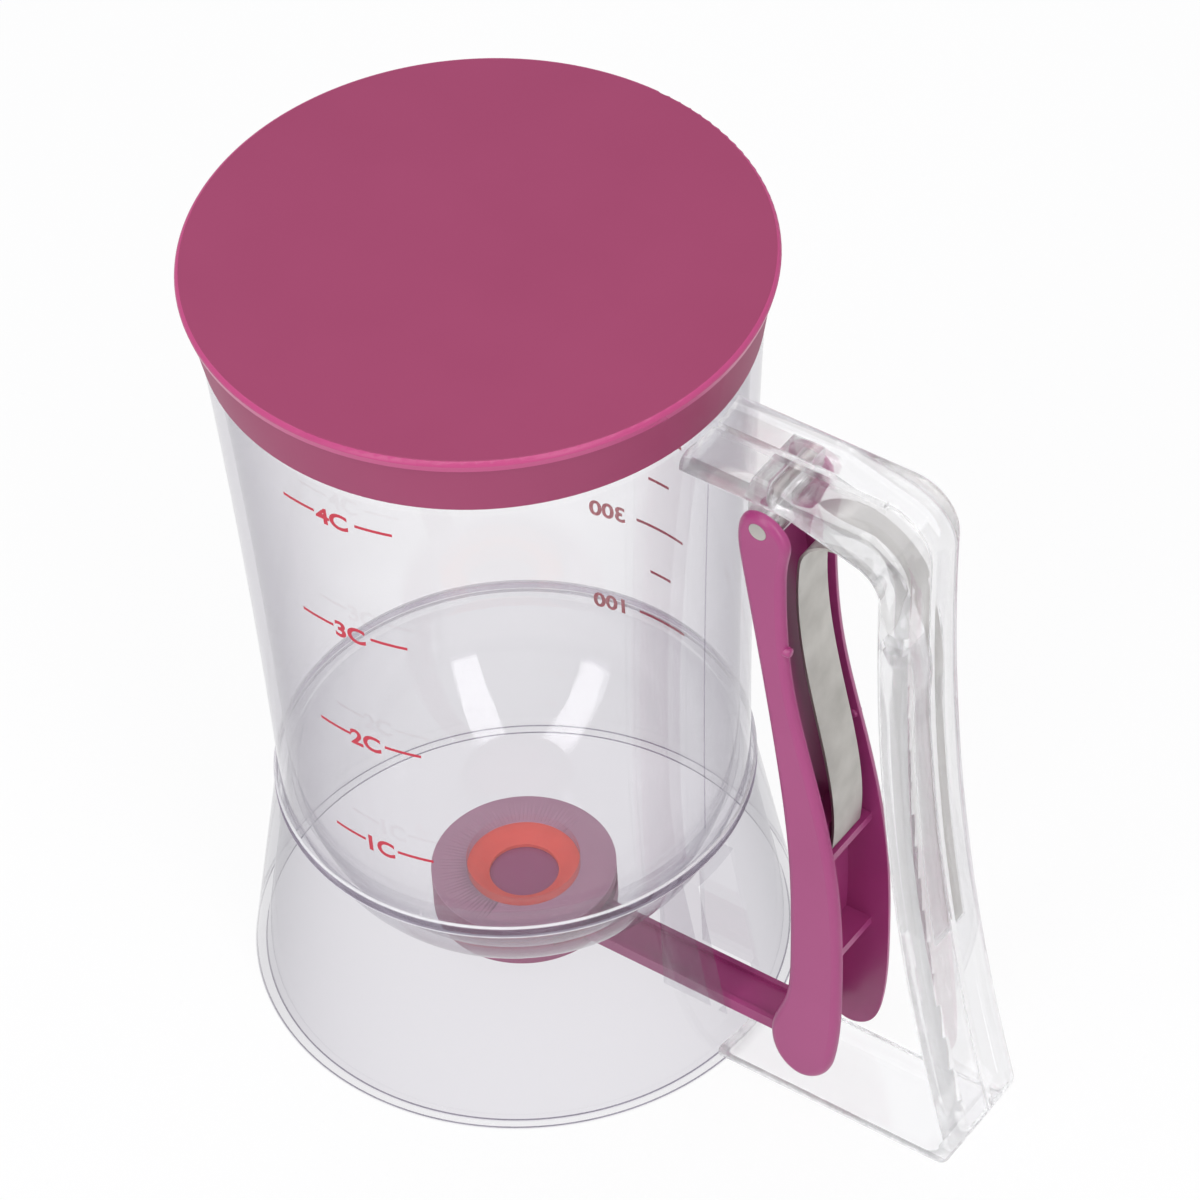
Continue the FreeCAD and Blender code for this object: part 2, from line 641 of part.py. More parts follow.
def channel_outline():
    """The side profile of the space between the cheeks, open at the back, top and foot."""
    front = [side_point(x + WEB_T, z) for x, z in trigger_front()[:-2]]
    toe = side_point(TOE_X + TOE_WEB_T, drawn_z(20.0))
    low = side_point(toe.x, -5)
    high = side_point(front[0].x, LID_TOP_Z)
    far_low = side_point(FAR, -5)
    far_high = side_point(FAR, LID_TOP_Z)
    return [
        Part.LineSegment(high, front[0]).toShape(),
        smooth(front),
        Part.LineSegment(front[-1], toe).toShape(),
        Part.LineSegment(toe, low).toShape(),
        Part.LineSegment(low, far_low).toShape(),
        Part.LineSegment(far_low, far_high).toShape(),
        Part.LineSegment(far_high, high).toShape(),
    ]


def trigger_rib(z):
    """A cross rib behind the web at this height."""
    x = front_x(z) + WEB_T
    return box(x - BITE, x + RIB_DEPTH, CHANNEL_HALF_W + BITE, z, z + RIB_T)


def front_x(z):
    """How far out the trigger's front lies at this height."""
    points = trigger_front()
    for (x0, z0), (x1, z1) in zip(points, points[1:]):
        if z1 <= z <= z0:
            return x0 + (x1 - x0) * (z0 - z) / (z0 - z1)
    return points[-1][0]


def trigger():
    """The trigger: cheeks, web, ribs, pad for the leaf, and the notch for the gate's neck."""
    body = across(trigger_outline(), TRIGGER_HALF_W)
    rims = [e for e in body.Edges if e.BoundBox.YLength < 0.01]
    body = body.makeFillet(TRIGGER_EDGE_R, rims)
    body = body.cut(across(channel_outline(), CHANNEL_HALF_W))
    body = body.cut(box(0, FAR, CHANNEL_HALF_W, PIVOT_Z - WEB_TOP_DROP, LID_TOP_Z))
    for z in (UPPER_RIB_DRAWN_Z, LOWER_RIB_DRAWN_Z):
        body = body.fuse(trigger_rib(drawn_z(z)))
    body = body.fuse(leaf_pad())
    notch_high = ARM_TOP_FACE_Z + NECK_SIDE_GAP
    notch = box(TOE_X - 5, TOE_X + TOE_WEB_T + 1, NECK_HALF_W + NECK_SIDE_GAP, 0, notch_high)
    body = body.cut(notch)
    body = body.cut(crosswise(PIN_R + PIN_RUNNING_GAP, TRIGGER_HALF_W, PIVOT_X, PIVOT_Z))
    return body.removeSplitter()


def leaf_pad():
    """The pad behind the web that the leaf spring's free tip bears on."""
    z0 = drawn_z(UPPER_RIB_DRAWN_Z) + RIB_T
    z1 = z0 + PAD_H
    slack = LEAF_T / 2 + PAD_GAP
    low = (leaf_x(z0) - slack, z0)
    high = (leaf_x(z1) - slack, z1)
    root = front_x(z0) + WEB_T - BITE
    root_high = front_x(z1) + WEB_T - BITE
    under = z0 - BITE
    outline = [(root, under), (low[0], under), low, high, (root_high, z1)]
    return across(polygon(outline), LEAF_HALF_W)


def leaf_x(z):
    """Where the free leg's middle line lies near its tip."""
    tip, knee = free_leg()
    return tip[0] + (knee[0] - tip[0]) * (z - tip[1]) / (knee[1] - tip[1])


def slide_gate():
    """The gate: a round plate, a riser, the lipped arm, and the neck and head at the trigger."""
    shoulder_x = TOE_X - NECK_PLAY
    head_x = TOE_X + TOE_WEB_T + NECK_PLAY
    plate = upright(GATE_R, GATE_BOTTOM_Z, GATE_TOP_Z)
    plate = plate.fuse(box(0, RISER_X + RISER_T, ARM_HALF_W, GATE_BOTTOM_Z, GATE_TOP_Z))
    riser = box(RISER_X, RISER_X + RISER_T, ARM_HALF_W, ARM_BOTTOM_Z, GATE_TOP_Z)
    arm = box(RISER_X, shoulder_x, ARM_HALF_W, ARM_BOTTOM_Z, ARM_TOP_FACE_Z)
    neck = box(shoulder_x, head_x, NECK_HALF_W, ARM_BOTTOM_Z, ARM_TOP_FACE_Z)
    head = box(head_x, head_x + HEAD_T, ARM_HALF_W, ARM_BOTTOM_Z, ARM_TOP_FACE_Z)
    gate = plate.fuse([riser, arm, neck, head])
    for side in (-1, 1):
        outer = side * ARM_HALF_W
        inner = outer - side * ARM_LIP_T
        lip = Part.makeBox(shoulder_x - RISER_X, ARM_LIP_T, ARM_LIP_H + BITE,
                           Vector(RISER_X, min(outer, inner), ARM_TOP_FACE_Z - BITE))
        gate = gate.fuse(lip)
    return gate.removeSplitter()


def main():
    os.makedirs("parts", exist_ok=True)
    save("lid", lid())
    save("jar_wall", jar_wall())
    save("hopper_bowl", hopper_bowl())
    save("base_skirt", base_skirt())
    save("valve_body", valve_body())
    save("seal_ring", seal_ring())
    save("slide_gate", slide_gate())
    save("handle", handle())
    save("pivot_pin", pivot_pin())
    save("trigger", trigger())
    save("leaf_spring", leaf_spring())


main()
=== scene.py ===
import math

import bmesh
import bpy
from mathutils import Matrix, Vector
from mathutils.bvhtree import BVHTree


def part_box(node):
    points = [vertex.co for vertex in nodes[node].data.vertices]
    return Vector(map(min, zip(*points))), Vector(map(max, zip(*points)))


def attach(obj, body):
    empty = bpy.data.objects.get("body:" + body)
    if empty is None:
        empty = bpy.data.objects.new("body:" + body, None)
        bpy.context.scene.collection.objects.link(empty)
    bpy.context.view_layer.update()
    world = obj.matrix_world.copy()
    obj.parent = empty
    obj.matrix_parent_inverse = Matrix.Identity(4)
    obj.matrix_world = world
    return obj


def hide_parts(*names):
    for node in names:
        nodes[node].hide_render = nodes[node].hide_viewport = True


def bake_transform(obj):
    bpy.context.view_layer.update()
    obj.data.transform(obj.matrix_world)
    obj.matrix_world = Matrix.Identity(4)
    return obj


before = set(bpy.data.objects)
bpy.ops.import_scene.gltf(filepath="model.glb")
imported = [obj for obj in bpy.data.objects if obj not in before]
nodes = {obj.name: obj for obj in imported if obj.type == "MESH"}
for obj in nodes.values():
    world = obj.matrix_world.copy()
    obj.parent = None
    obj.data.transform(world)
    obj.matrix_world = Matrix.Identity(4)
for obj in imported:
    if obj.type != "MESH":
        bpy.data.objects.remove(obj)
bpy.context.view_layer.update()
print("nodes:", sorted(nodes))

# %% [markdown]
# ## The camera
#
# The picture was taken from far away with a long lens, a little over 1.4 m
# from the jar and 45 degrees up, with the handle on the right. The place and
# the three turns were solved from the round rims of the lid, waist and base.
# They are written as named numbers, so that the view can be rebuilt exactly.
# %% Place the camera
PICTURE_SIDE = 1200
FOCAL_PIXELS = 6768.64
SENSOR_MM = 36.0
CAMERA_BACK = 0.99567
CAMERA_UP = 1.08569
PAN = 0.020
TILT = 0.782
ROLL = -0.062
HANDLE_TURN = math.radians(38.6)


def camera_matrix():
    forward = Vector(
        (
            math.sin(PAN) * math.cos(TILT),
            math.cos(PAN) * math.cos(TILT),
            -math.sin(TILT),
        )
    )
    level = Vector((math.cos(PAN), -math.sin(PAN), 0))
    top = level.cross(forward)
    right = math.cos(ROLL) * level + math.sin(ROLL) * top
    above = -math.sin(ROLL) * level + math.cos(ROLL) * top
    turned = Matrix.Rotation(HANDLE_TURN, 4, "Z")
    axes = Matrix((right, above, -forward)).transposed().to_4x4()
    place = Matrix.Translation((0, -CAMERA_BACK, CAMERA_UP))
    return turned @ place @ axes


eye = bpy.data.cameras.new("long_lens")
eye.sensor_width = SENSOR_MM
eye.lens = FOCAL_PIXELS * SENSOR_MM / PICTURE_SIDE
camera = bpy.data.objects.new("camera", eye)
camera.matrix_world = camera_matrix()
bpy.context.scene.collection.objects.link(camera)
bpy.context.scene.camera = camera
print("camera at", [round(v, 3) for v in camera.matrix_world.translation])

# %% [markdown]
# ## Shader maths as Python
#
# A finish needs sums such as 1 - mask. Wiring each one by hand takes many
# lines, so one small class holds a socket and turns Python's operators into
# Math nodes. Every other node comes from its `node` method.
# %% A socket that knows arithmetic


class Wire:
    """An output of a material's node tree, with the operators that are used."""

    def __init__(self, tree, socket=None):
        self.tree = tree
        self.socket = socket

    def node(self, kind, sockets=None, out=0, stops=None, **settings):
        made = self.tree.nodes.new(kind)
        for name, value in settings.items():
            setattr(made, name, value)
        if stops:
            ramp = made.color_ramp
            for stop, (place, shade) in zip(ramp.elements, stops):
                stop.position = place
                stop.color = shade
            for place, shade in stops[2:]:
                ramp.elements.new(place).color = shade
        for name, value in (sockets or {}).items():
            if isinstance(value, Wire):
                self.tree.links.new(value.socket, made.inputs[name])
            else:
                made.inputs[name].default_value = value
        return Wire(self.tree, made.outputs[out])

    def maths(self, operation, a, b):
        return self.node("ShaderNodeMath", {0: a, 1: b}, operation=operation)

    def __add__(self, other):
        return self.maths("ADD", self, other)

    __radd__ = __add__

    def __sub__(self, other):
        return self.maths("SUBTRACT", self, other)

    def __rsub__(self, other):
        return self.maths("SUBTRACT", other, self)

    def __mul__(self, other):
        return self.maths("MULTIPLY", self, other)

    __rmul__ = __mul__


def new_material(name):
    """An empty material, with a Wire to build its nodes from."""
    made = bpy.data.materials.new(name)
    made.use_nodes = True
    made.node_tree.nodes.clear()
    return made, Wire(made.node_tree)


def noise(start, size_mm, detail=2.0, stretch=(1, 1, 1)):
    """Noise whose lumps are size_mm across, fixed to the object."""
    where = start.node("ShaderNodeTexCoord", out="Object")
    per_metre = 1000.0 / size_mm
    placed = start.node(
        "ShaderNodeMapping",
        {"Vector": where, "Scale": [s * per_metre for s in stretch]},
    )
    return start.node(
        "ShaderNodeTexNoise", {"Vector": placed, "Scale": 1.0, "Detail": detail}
    )


def bump(start, height, depth_mm):
    return start.node(
        "ShaderNodeBump",
        {"Height": height, "Strength": 1.0, "Distance": depth_mm / 1000.0},
    )


def mix_colour(start, share, first, second):
    sockets = {"Factor": share, 6: first, 7: second}
    return start.node("ShaderNodeMix", sockets, out=2, data_type="RGBA")


def output(start, shader, kind="ShaderNodeOutputMaterial"):
    """Ends a material or a world with its shader."""
    end = start.tree.nodes.new(kind)
    start.tree.links.new(shader.socket, end.inputs["Surface"])


print("operators ready: + - *")

# %% [markdown]
# ## Plum plastics
#
# The lid is a satin moulding: its colour is even, and a very fine grain breaks
# up the shine. The trigger, gate and valve body are the same plum but
# smoother, so they carry a soft sheen along their rounded edges. Both are one
# recipe with other numbers: a colour that wanders a little, a roughness that
# wanders a little, and a bump of fine grain.
# %% Make the plum finishes
PLASTIC_IOR = 1.49
LID_EDGE_START = 0.0592
# The lighter plum of the lid's rim is a painted highlight.
LID_RIM_HIGHLIGHT_PLUM = (0.46, 0.062, 0.190, 1)
LID_PLUM = (0.312, 0.045, 0.123, 1)
LID_PLUM_DEEP = (0.290, 0.040, 0.112, 1)
TRIGGER_PLUM = (0.352, 0.046, 0.180, 1)
TRIGGER_PLUM_DEEP = (0.308, 0.036, 0.154, 1)
ROUGH_WANDER = 0.08
EDGE_POLISH = 0.22


def plum_plastic(name, light, deep, rough, grain_mm, depth_mm, gloss):
    made, start = new_material(name)
    cloud = noise(start, 22.0)
    grain = noise(start, grain_mm, detail=3.0)
    colour = mix_colour(start, cloud, light, deep)
    shader = start.node(
        "ShaderNodeBsdfPrincipled",
        {
            "Base Color": colour,
            "Roughness": rough + ROUGH_WANDER * (cloud - 0.5),
            "Normal": bump(start, grain, depth_mm),
            "Specular IOR Level": gloss,
            "IOR": PLASTIC_IOR,
        },
    )
    output(start, shader)
    return made


def polished_edge(made):
    """Paints a highlight on the lid's rounded rim in a lighter plum, and smooths it.
    """
    tree = made.node_tree
    start = Wire(tree)
    where = start.node("ShaderNodeTexCoord", out="Object")
    flat = start.node(
        "ShaderNodeVectorMath", {0: where, 1: (1, 1, 0)}, operation="MULTIPLY"
    )
    radius = start.node(
        "ShaderNodeVectorMath", {0: flat}, out="Value", operation="LENGTH"
    )
    rim_highlight_and_polish = start.maths("GREATER_THAN", radius, LID_EDGE_START)
    shader = tree.nodes["Principled BSDF"]
    colour = Wire(tree, shader.inputs["Base Color"].links[0].from_socket)
    rough = Wire(tree, shader.inputs["Roughness"].links[0].from_socket)
    # Painted highlight: the rim's colour is mixed towards a lighter plum.
    painted_highlight = mix_colour(start, rim_highlight_and_polish, colour, LID_RIM_HIGHLIGHT_PLUM)
    smoother = rough - EDGE_POLISH * rim_highlight_and_polish
    tree.links.new(painted_highlight.socket, shader.inputs["Base Color"])
    tree.links.new(smoother.socket, shader.inputs["Roughness"])


lid_finish = plum_plastic(
    "lid_satin_plum", LID_PLUM, LID_PLUM_DEEP, 0.50, 0.5, 0.010, 0.30
)
polished_edge(lid_finish)
trigger_finish = plum_plastic(
    "trigger_gloss_plum", TRIGGER_PLUM, TRIGGER_PLUM_DEEP, 0.33, 0.9, 0.006, 0.55
)
print("made", lid_finish.name, trigger_finish.name)

# %% [markdown]
# ## Clear plastic, thin walls
#
# The jar, funnel and base are walls of clear hard plastic 2.4 mm thick. So
# thin a wall hardly bends what is behind it, so it is drawn as a pane: it lets
# light straight through with a faint grey tint, takes more of it where the
# wall is seen edge on, and mirrors the lamps more and more towards its edges.
# The Layer Weight node gives how far the wall turns away, and a power of it
# is close to the real law of reflection. The base is seen against the
# shaded table inside it, so its tint is painted a little greyer than the
# jar's: painted shade.
# %% Make the thin clear finish
PANE_TINT = (0.982, 0.980, 0.985, 1)
PANE_EDGE_TINT = (0.58, 0.56, 0.61, 1)
# The base's greyer tint is painted shade, for the shaded table seen through it.
BASE_SHADE_TINT = (0.957, 0.954, 0.962, 1)
BASE_EDGE_TINT = (0.48, 0.47, 0.51, 1)
PANE_MIRROR = 0.04
PANE_MIRROR_EDGE = 0.90


def pane(name, tint, edge_tint):
    made, start = new_material(name)
    away = start.node("ShaderNodeLayerWeight", {"Blend": 0.5}, out="Facing")
    haze = noise(start, 14.0, detail=2.0)
    edge = away * away * away
    clear = start.node("ShaderNodeBsdfTransparent", {"Color": tint})
    deep = start.node("ShaderNodeBsdfTransparent", {"Color": edge_tint})
    body = start.node("ShaderNodeMixShader", {0: edge, 1: clear, 2: deep})
    mirror = start.node(
        "ShaderNodeBsdfAnisotropic",
        {"Color": (1, 1, 1, 1), "Roughness": 0.02 + 0.03 * haze},
    )
    share = PANE_MIRROR + (PANE_MIRROR_EDGE - PANE_MIRROR) * (edge * away * away)
    both = start.node("ShaderNodeMixShader", {0: share, 1: body, 2: mirror})
    output(start, both)
    return made


jar_finish = pane("jar_clear", PANE_TINT, PANE_EDGE_TINT)
base_finish = pane("base_clear", BASE_SHADE_TINT, BASE_EDGE_TINT)
print("made", jar_finish.name, base_finish.name)

# %% [markdown]
# ## Clear plastic, thick mouldings
#
# The handle is a thick strap, and there the bending of light is the whole
# look. A Principled shader with full Transmission bends and reflects as it
# does, and a slow bump makes the reflections wander as on a real moulding. A
# share of Transparent is mixed in, so that the strap stays as clear as it is.
# Shadow rays meet only a second Transparent shader, because the bright
# patterns that light draws behind glass are found very slowly.
# %% Make the thick clear finish
CLEAR_TINT = (0.972, 0.970, 0.980, 1)
CLEAR_SHADOW = (0.93, 0.93, 0.95, 1)
CLEAR_THROUGH = (0.975, 0.972, 0.982, 1)
STRAIGHT_SHARE = 0.30


def clear_plastic(name, ripple_mm, depth_mm, rough):
    made, start = new_material(name)
    ripple = noise(start, ripple_mm, detail=1.0)
    haze = noise(start, 9.0, detail=2.0)
    glass = start.node(
        "ShaderNodeBsdfPrincipled",
        {
            "Base Color": CLEAR_TINT,
            "Roughness": rough + 0.06 * haze,
            "Normal": bump(start, ripple, depth_mm),
            "Transmission Weight": 1.0,
            "IOR": PLASTIC_IOR,
        },
    )
    through = start.node("ShaderNodeBsdfTransparent", {"Color": CLEAR_THROUGH})
    shade = start.node("ShaderNodeBsdfTransparent", {"Color": CLEAR_SHADOW})
    soft = start.node(
        "ShaderNodeMixShader", {0: STRAIGHT_SHARE, 1: glass, 2: through}
    )
    lamp = start.node("ShaderNodeLightPath", out="Is Shadow Ray")
    both = start.node("ShaderNodeMixShader", {0: lamp, 1: soft, 2: shade})
    output(start, both)
    return made


handle_finish = clear_plastic("handle_clear", 16.0, 0.02, 0.03)
print("made", handle_finish.name)

# %% [markdown]
# ## Steel, silicone and ink
#
# The leaf spring is cold-rolled strip: fine scratches run along it, and it is
# dull with a few darker stains. Stretching a noise along Z draws the scratches.
# The seal is soft red silicone. The scale is printed in dark red ink.
# %% Make the small finishes
STEEL_PALE = (0.62, 0.60, 0.57, 1)
STEEL_STAIN = (0.40, 0.385, 0.36, 1)
SEAL_RED = (0.95, 0.100, 0.065, 1)
SEAL_DEEP = (0.80, 0.070, 0.050, 1)
INK_RED = (0.46, 0.010, 0.035, 1)
INK_WORN = (0.56, 0.030, 0.060, 1)


def strip_steel():
    made, start = new_material("leaf_steel")
    scratch = noise(start, 0.35, detail=4.0, stretch=(1, 1, 0.02))
    stain = noise(start, 7.0, detail=4.0)
    colour = mix_colour(start, stain, STEEL_PALE, STEEL_STAIN)
    shader = start.node(
        "ShaderNodeBsdfPrincipled",
        {
            "Base Color": colour,
            "Metallic": 1.0,
            "Roughness": 0.30 + 0.22 * stain,
            "Normal": bump(start, scratch, 0.01),
        },
    )
    output(start, shader)
    return made


def red_silicone():
    made, start = new_material("seal_silicone")
    cloud = noise(start, 3.0)
    colour = mix_colour(start, cloud, SEAL_RED, SEAL_DEEP)
    shader = start.node(
        "ShaderNodeBsdfPrincipled",
        {
            "Base Color": colour,
            "Roughness": 0.5 + 0.1 * cloud,
            "Normal": bump(start, noise(start, 0.4), 0.01),
            "Subsurface Weight": 0.15,
            "Subsurface Scale": 0.001,
        },
    )
    output(start, shader)
    return made


def scale_ink():
    made, start = new_material("scale_ink")
    worn = noise(start, 0.9, detail=3.0)
    colour = mix_colour(start, worn, INK_RED, INK_WORN)
    shader = start.node(
        "ShaderNodeBsdfPrincipled",
        {"Base Color": colour, "Roughness": 0.45 + 0.15 * worn, "IOR": 1.5},
    )
    output(start, shader)
    return made


steel_finish = strip_steel()
silicone_finish = red_silicone()
ink_finish = scale_ink()
print("made", steel_finish.name, silicone_finish.name, ink_finish.name)

# %% [markdown]
# ## Dress the construction model
#
# Each moulding whose shape is already right keeps its mesh and only gets a
# finish in its material slots.
# %% Give every node its finish
FINISHES = {
    "lid": lid_finish,
    "jar_wall": jar_finish,
    "hopper_bowl": jar_finish,
    "base_skirt": base_finish,
    "handle": handle_finish,
    "valve_body": trigger_finish,
    "slide_gate": trigger_finish,
    "trigger": trigger_finish,
    "seal_ring": silicone_finish,
    "pivot_pin": steel_finish,
    "leaf_spring": steel_finish,
}

for name, finish in FINISHES.items():
    for place in nodes[name].material_slots:
        place.material = finish
print("dressed", len(FINISHES), "nodes")

# %% [markdown]
# ## Turned pieces
#
# Some round details are drawn as half sections and spun about the jar's axis.
# `bmesh.ops.spin` does that, with `use_merge` so that the last step closes on
# the first. The spin can leave the faces turned inwards, so the doubles are
# merged and the normals are recalculated.
# %% Spin a half section
ROUND_STEPS = 144
MERGE_DISTANCE = 1e-6
SPUN_CREASE = math.radians(35)


def half_section(points_mm):
    """A closed chain of edges in the XZ plane, from points of radius and height."""
    grid = bmesh.new()
    verts = [grid.verts.new((r / 1000, 0, z / 1000)) for r, z in points_mm]
    for a, b in zip(verts, verts[1:] + verts[:1]):
        grid.edges.new((a, b))
    return grid


def spun_piece(name, points_mm, finish, body):
    grid = half_section(points_mm)
    bmesh.ops.spin(
        grid,
        geom=grid.verts[:] + grid.edges[:],
        cent=(0, 0, 0),
        axis=(0, 0, 1),
        angle=math.tau,
        steps=ROUND_STEPS,
        use_merge=True,
    )
    bmesh.ops.remove_doubles(grid, verts=grid.verts, dist=MERGE_DISTANCE)
    bmesh.ops.recalc_face_normals(grid, faces=grid.faces)
    for face in grid.faces:
        face.smooth = True
    mesh = bpy.data.meshes.new(name)
    grid.to_mesh(mesh)
    grid.free()
    mesh.set_sharp_from_angle(angle=SPUN_CREASE)
    mesh.materials.append(finish)
    piece = bpy.data.objects.new(name, mesh)
    bpy.context.scene.collection.objects.link(piece)
    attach(piece, body)
    return piece


print("spins take", ROUND_STEPS, "steps")

# %% [markdown]
# ## The moulded waist
#
# Where the jar, the funnel's flange and the base are joined, the edges are
# slightly rounded and catch the light as two bright lines round the waist,
# with a darker band between them. Two thin near-white beads stand for the
# bright lines as painted highlights, and a grey band stands for the darker
# one as painted shade.
# %% Make the waist's beads and band
FLANGE_R_MM = 51.2
WAIST_LOW_MM = 51.1
WAIST_HIGH_MM = 53.7
BEAD_MM = 0.32
BAND_T_MM = 0.05
BAND_OUT_MM = 0.02
BAND_IN_MM = 0.3
BEAD_SIDES = 8
# GLINT_GLOSS is the near-white of the beads' painted highlight.
GLINT_GLOSS = (0.92, 0.92, 0.94, 1)
BAND_CLEAR = (0.97, 0.965, 0.975, 1)
# BAND_DEEP is the grey of the band's painted shade.
BAND_DEEP = (0.66, 0.625, 0.68, 1)


def bead_points(radius, height, size):
    """A small round section: as many points of radius and height as it has sides."""
    turns = [math.tau * side / BEAD_SIDES for side in range(BEAD_SIDES)]
    return [
        (radius + size * math.cos(turn), height + size * math.sin(turn))
        for turn in turns
    ]


def glint_finish():
    """Painted highlight for the rounded edges of clear plastic: a near-white gloss,
    half seen through.
    """
    made, start = new_material("waist_glint")
    speck = noise(start, 6.0)
    gloss = start.node(
        "ShaderNodeBsdfPrincipled",
        {"Base Color": GLINT_GLOSS, "Roughness": 0.1 + 0.1 * speck},
    )
    clear = start.node("ShaderNodeBsdfTransparent", {"Color": (1, 1, 1, 1)})
    share = 0.45 + 0.35 * speck
    output(start, start.node("ShaderNodeMixShader", {0: share, 1: clear, 2: gloss}))
    return made


def band_finish():
    """Painted shade for the flange's edge, which turns light away: a soft grey, half
    seen through.
    """
    made, start = new_material("waist_band")
    speck = noise(start, 9.0, stretch=(1, 1, 3))
    clear = start.node("ShaderNodeBsdfTransparent", {"Color": BAND_CLEAR})
    deep = start.node("ShaderNodeBsdfTransparent", {"Color": BAND_DEEP})
    share = 0.4 + 0.4 * speck
    output(start, start.node("ShaderNodeMixShader", {0: share, 1: clear, 2: deep}))
    return made


glint = glint_finish()
band = band_finish()
bead_r = FLANGE_R_MM - BEAD_MM
waist_upper = spun_piece(
    "waist_bead_upper", bead_points(bead_r, WAIST_HIGH_MM, BEAD_MM), glint, "housing"
)
waist_lower = spun_piece(
    "waist_bead_lower", bead_points(bead_r, WAIST_LOW_MM, BEAD_MM), glint, "housing"
)
band_near = FLANGE_R_MM + BAND_OUT_MM
band_far = band_near + BAND_T_MM
band_low = WAIST_LOW_MM + BAND_IN_MM
band_high = WAIST_HIGH_MM - BAND_IN_MM
waist_band = spun_piece(
    "waist_band",
    [
        (band_near, band_low),
        (band_far, band_low),
        (band_far, band_high),
        (band_near, band_high),
    ],
    band,
    "housing",
)
print("waist pieces:", waist_upper.name, waist_lower.name, waist_band.name)

# %% [markdown]
# ## The base's two rim lines
#
# The base's cut lower edge turns light away, so it shows as two fine grey
# lines: one along the outer edge and one along the inner edge. Both are
# painted shade: thin grey rings laid along the edges.
# %% Draw the rim lines
RIM_OUTER_MM = 59.0
RIM_INNER_MM = 56.9
RIM_LINE_MM = 0.16
RIM_LIFT_MM = 0.10
# The rim lines' greys are painted shade.
RIM_TINT = (0.70, 0.68, 0.73, 1)
RIM_TINT_DEEP = (0.52, 0.50, 0.56, 1)


def rim_finish():
    made, start = new_material("rim_grey")
    speck = noise(start, 12.0)
    clear = start.node("ShaderNodeBsdfTransparent", {"Color": RIM_TINT})
    deep = start.node("ShaderNodeBsdfTransparent", {"Color": RIM_TINT_DEEP})
    output(start, start.node("ShaderNodeMixShader", {0: speck, 1: clear, 2: deep}))
    return made


rim_grey = rim_finish()
rim_height = RIM_LINE_MM + RIM_LIFT_MM
outer_line = bead_points(RIM_OUTER_MM, rim_height, RIM_LINE_MM)
inner_line = bead_points(RIM_INNER_MM, rim_height, RIM_LINE_MM)
rim_outer = spun_piece("base_rim_outer", outer_line, rim_grey, "housing")
rim_inner = spun_piece("base_rim_inner", inner_line, rim_grey, "housing")
print("rim lines:", rim_outer.name, rim_inner.name)

# %% [markdown]
# ## The valve body under the funnel
#
# It is a plum ring that is welded to the underside of the clear floor. Seen
# through that floor its top looks pale, so its top is painted a paler plum:
# that is painted light, not the ring's own colour. The construction model's
# ring touches the floor face to face, and two faces in one place flicker. So a
# copy of its mesh stands for it, with its top face set a hair lower. The red
# seal in its middle is done the same way.
# %% Set the valve body a hair lower
COPY_CREASE = math.radians(30)
TOP_DROP = 0.00008
# The two pale plums are painted light on the ring's top, mottled by scuffs; VALVE_DEEP
# is its own plum.
VALVE_PAINTED_LIGHT = (0.60, 0.285, 0.42, 1)
VALVE_PAINTED_LIGHT_SCUFFED = (0.55, 0.26, 0.385, 1)
VALVE_DEEP = (0.33, 0.07, 0.17, 1)
VALVE_TOP_BAND = 0.0004
VALVE_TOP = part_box("valve_body")[1].z


def valve_finish():
    made, start = new_material("valve_plum")
    where = start.node("ShaderNodeTexCoord", out="Object")
    height = start.node("ShaderNodeSeparateXYZ", {"Vector": where}, out="Z")
    # Painted light: the ring's top band gets a paler plum.
    top = start.maths("GREATER_THAN", height, VALVE_TOP - VALVE_TOP_BAND)
    scuff = noise(start, 2.5, detail=4.0)
    pale = mix_colour(start, scuff, VALVE_PAINTED_LIGHT, VALVE_PAINTED_LIGHT_SCUFFED)
    colour = mix_colour(start, top, VALVE_DEEP, pale)
    shader = start.node(
        "ShaderNodeBsdfPrincipled",
        {
            "Base Color": colour,
            "Roughness": 0.45 + 0.15 * scuff,
            "Normal": bump(start, scuff, 0.02),
        },
    )
    output(start, shader)
    return made


def lowered_copy(node, name, finish):
    grid = bmesh.new()
    grid.from_mesh(nodes[node].data)
    bmesh.ops.remove_doubles(grid, verts=grid.verts, dist=MERGE_DISTANCE)
    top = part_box(node)[1].z
    high = [v for v in grid.verts if v.co.z > top - 1e-5]
    bmesh.ops.translate(grid, verts=high, vec=(0, 0, -TOP_DROP))
    for face in grid.faces:
        face.smooth = abs(face.normal.z) < 0.999
    mesh = bpy.data.meshes.new(name)
    grid.to_mesh(mesh)
    grid.free()
    mesh.set_sharp_from_angle(angle=COPY_CREASE)
    mesh.materials.append(finish)
    piece = bpy.data.objects.new(name, mesh)
    bpy.context.scene.collection.objects.link(piece)
    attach(piece, "housing")
    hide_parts(node)
    return piece


valve = lowered_copy("valve_body", "valve_ring", valve_finish())
seal = lowered_copy("seal_ring", "seal_lip", silicone_finish)
print("valve top at", round(VALVE_TOP * 1000, 2), "mm")

# %% [markdown]
# ## The leaf spring
#
# The strip lies on the trigger's web, arches over, and runs down inside the
# handle, where it looks much narrower than on the web. A copy of its mesh
# stands for it, narrowed from the arch onwards.
# %% Narrow the leaf spring
LEAF_HALF_W = 0.00515
NARROW_FROM_X = 0.0880
NARROW_TO_X = 0.0970
NARROW_SHARE = 0.45


